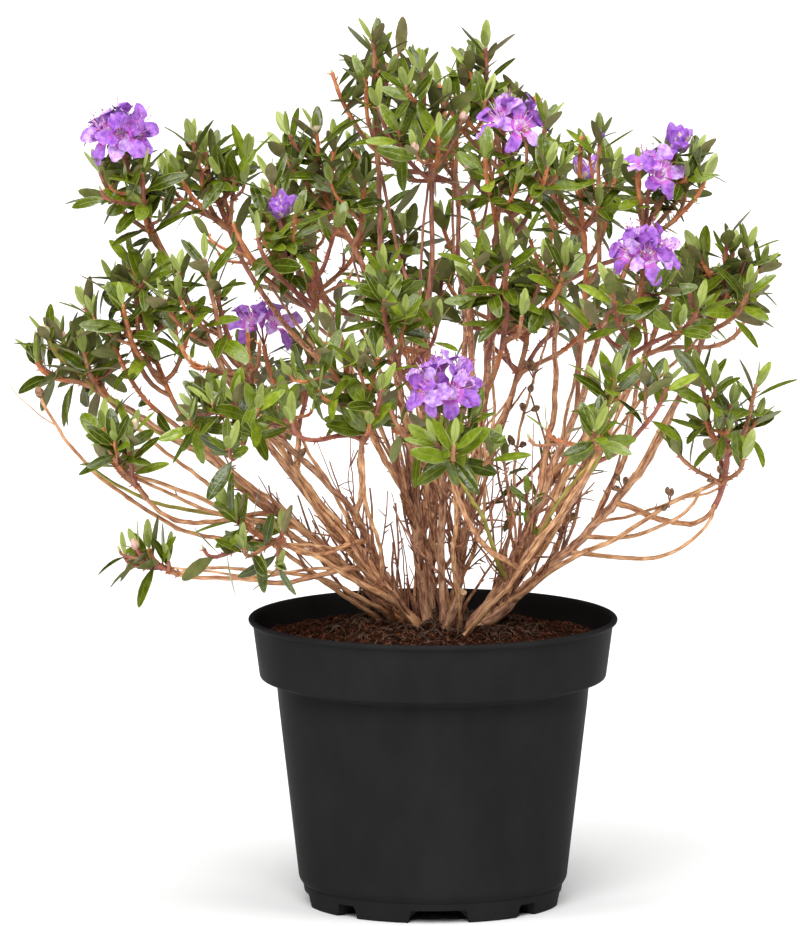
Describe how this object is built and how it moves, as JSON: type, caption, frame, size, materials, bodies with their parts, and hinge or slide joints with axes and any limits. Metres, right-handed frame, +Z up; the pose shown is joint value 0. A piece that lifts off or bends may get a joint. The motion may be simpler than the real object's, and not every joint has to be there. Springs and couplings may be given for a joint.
{
  "type": "potted dwarf rhododendron",
  "caption": "Open, many-stemmed dwarf rhododendron with small evergreen leaves and violet flowers, growing in soil in a round black plastic nursery pot.",
  "frame": {"origin": "on the pot's axis, on the ground under the middle of its flat floor", "axes": "+Z up along the pot's axis; +Y to the back, away from the viewer of the reference view; +X to that viewer's right"},
  "size_m": [0.4869, 0.3983, 0.56],
  "materials": {
    "pot": "satin",
    "soil": "matte",
    "bark": "matte",
    "young_bark": "matte",
    "foliage": "satin"
  },
  "bodies": {
    "root": {"pot": "pot", "soil": "soil", "stem_far_left": "bark", "stem_left": "bark", "stem_left_tall": "bark", "stem_centre_left": "bark", "stem_centre": "bark", "stem_centre_right": "bark", "stem_right_tall": "bark", "stem_far_right": "bark", "stem_front": "bark", "stem_back": "bark", "bough_low_left": "young_bark", "bough_low_front": "young_bark", "bough_left_low": "young_bark", "bough_left_upper": "young_bark", "bough_back_left": "young_bark", "bough_top_left": "young_bark", "bough_front_left": "young_bark", "bough_front": "young_bark", "bough_back_top": "young_bark", "bough_right_flower": "young_bark", "bough_back_right_high": "young_bark", "bough_low_right": "young_bark", "bough_back_right": "young_bark", "bough_back_far_right": "young_bark", "bough_back_left_high": "young_bark", "dead_twig": "young_bark", "foliage_top_left": "foliage", "foliage_top_centre": "foliage", "foliage_top_right": "foliage", "foliage_upper_left": "foliage", "foliage_left_truss": "foliage", "foliage_left_high": "foliage", "foliage_upper_right_flower": "foliage", "foliage_upper_right": "foliage", "foliage_right_high": "foliage", "foliage_right": "foliage", "foliage_right_flower": "foliage", "foliage_centre_right_front": "foliage", "foliage_centre_left_front": "foliage", "foliage_small_flower": "foliage", "foliage_left": "foliage", "foliage_far_left": "foliage", "foliage_left_low": "foliage", "foliage_left_mid": "foliage", "foliage_left_front": "foliage", "foliage_front_left": "foliage", "foliage_front_flower": "foliage", "foliage_front_right": "foliage", "foliage_low_right": "foliage", "foliage_low_front": "foliage", "foliage_low_left": "foliage", "foliage_back_top": "foliage", "foliage_back_left_high": "foliage", "foliage_back_right_high": "foliage", "foliage_back_left": "foliage", "foliage_back_right": "foliage", "foliage_back_mid": "foliage", "foliage_back_far_right": "foliage"}
  },
  "joints": []
}
